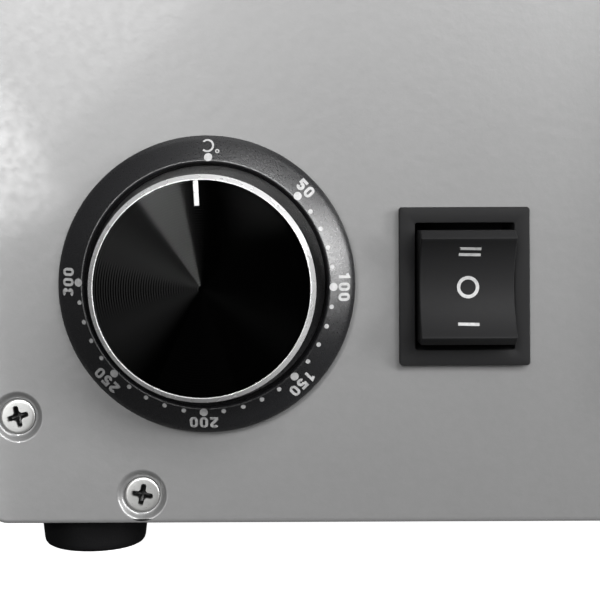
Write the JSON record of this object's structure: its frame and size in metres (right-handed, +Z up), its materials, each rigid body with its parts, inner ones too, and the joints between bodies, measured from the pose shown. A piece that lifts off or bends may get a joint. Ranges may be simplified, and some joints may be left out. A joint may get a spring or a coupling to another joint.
{
  "type": "reflow oven",
  "caption": "Benchtop reflow oven: steel cabinet with a temperature dial and rocker switch beside an insulated quartz-heated chamber with a convection fan and a sliding board drawer.",
  "frame": {"origin": "on the ground under the middle of the whole oven, handle and rear sockets included", "axes": "+X to the right along the front panel, +Y from the front towards the rear, +Z up"},
  "size_m": [0.4, 0.3398, 0.194],
  "materials": {
    "painted_steel": "silver-grey gloss powder coat with a fine orange peel",
    "galvanised_steel": "zinc-plated sheet",
    "stainless_sheet": "brushed stainless",
    "polished_sheet": "polished",
    "screw_zinc": "bright zinc plate",
    "rubber_black": "matt moulded rubber",
    "moulded_black": "fine-grained matt moulding",
    "gloss_black": "satin moulding",
    "black_anodised": "black anodised, spun with concentric grooves",
    "bright_aluminium": "diamond-cut",
    "steel_shaft": "ground",
    "wool": "ceramic fibre blanket",
    "quartz": "clear fused quartz",
    "coil_wire": "oxidised resistance wire",
    "ceramic": "glazed steatite",
    "copper": "drawn copper",
    "bronze": "sintered bronze",
    "laminations": "varnished electrical steel",
    "winding": "taped enamelled winding",
    "wire_sleeve": "silicone insulation",
    "window_glass": "heat-resistant tinted glass",
    "silicone_seal": "silicone"
  },
  "bodies": {
    "cabinet": {"base_pan": "galvanised_steel", "outer_sleeve": "painted_steel", "front_panel": "painted_steel", "rear_panel": "painted_steel", "partition": "galvanised_steel", "rubber_feet": "rubber_black", "bottom_screws": "screw_zinc", "front_screws": "screw_zinc", "rear_screws": "screw_zinc", "chamber_box": "stainless_sheet", "chamber_supports": "galvanised_steel", "wool_top": "wool", "wool_bottom": "wool", "wool_sides": "wool", "wool_rear": "wool", "reflector": "polished_sheet", "quartz_tubes": "quartz", "heater_coils": "coil_wire", "ceramic_caps": "ceramic", "heater_bus_wires": "steel_shaft", "drawer_rails": "stainless_sheet", "sensor_bulb": "copper", "bulb_clips": "stainless_sheet", "baffle": "stainless_sheet", "fan_motor_stator": "laminations", "motor_coil": "winding", "motor_bearings": "bronze", "motor_standoffs": "screw_zinc", "cooling_fan_frame": "gloss_black", "cooling_fan_guard": "screw_zinc", "cooling_fan_screws": "screw_zinc", "mains_inlet": "gloss_black", "inlet_pins": "steel_shaft", "inlet_screws": "screw_zinc", "terminal_block": "ceramic", "wiring_loom": "wire_sleeve", "dial_plate": "moulded_black", "dial_screws": "screw_zinc", "thermostat": "ceramic", "switch_housing": "moulded_black", "switch_terminals": "steel_shaft"},
    "drawer": {"drawer_front": "painted_steel", "drawer_liner": "stainless_sheet", "drawer_glass": "window_glass", "window_frame": "moulded_black", "drawer_wool": "wool", "drawer_seal": "silicone_seal", "drawer_handle": "stainless_sheet", "handle_screws": "screw_zinc", "rack_arms": "stainless_sheet", "board_rack": "stainless_sheet"},
    "knob": {"knob_body": "moulded_black", "knob_ring": "bright_aluminium", "knob_face": "black_anodised", "knob_pointer": "bright_aluminium", "thermostat_shaft": "steel_shaft"},
    "rocker": {"switch_rocker": "moulded_black"},
    "cooling_fan": {"cooling_fan_rotor": "gloss_black"},
    "convection_fan": {"impeller": "stainless_sheet", "motor_shaft": "steel_shaft"}
  },
  "joints": [
    {"name": "drawer_slide", "type": "slide", "parent": "cabinet", "child": "drawer", "axis": [0, -1, 0], "range_m": [0, 0.15]},
    {"name": "knob_turn", "type": "hinge", "parent": "cabinet", "child": "knob", "pos_m": [-0.1564, -0.1249, 0.0552], "axis": [0, 1, 0], "range_deg": [0, 274]},
    {"name": "switch_rock", "type": "hinge", "parent": "cabinet", "child": "rocker", "pos_m": [-0.106, -0.1234, 0.0545], "axis": [1, 0, 0], "range_deg": [-11, 11]},
    {"name": "cooling_fan_spin", "type": "hinge", "parent": "cabinet", "child": "cooling_fan", "pos_m": [-0.136, 0.1511, 0.12], "axis": [0, 1, 0], "continuous": true},
    {"name": "convection_fan_spin", "type": "hinge", "parent": "cabinet", "child": "convection_fan", "pos_m": [0.064, 0.1151, 0.101], "axis": [0, 1, 0], "continuous": true}
  ]
}
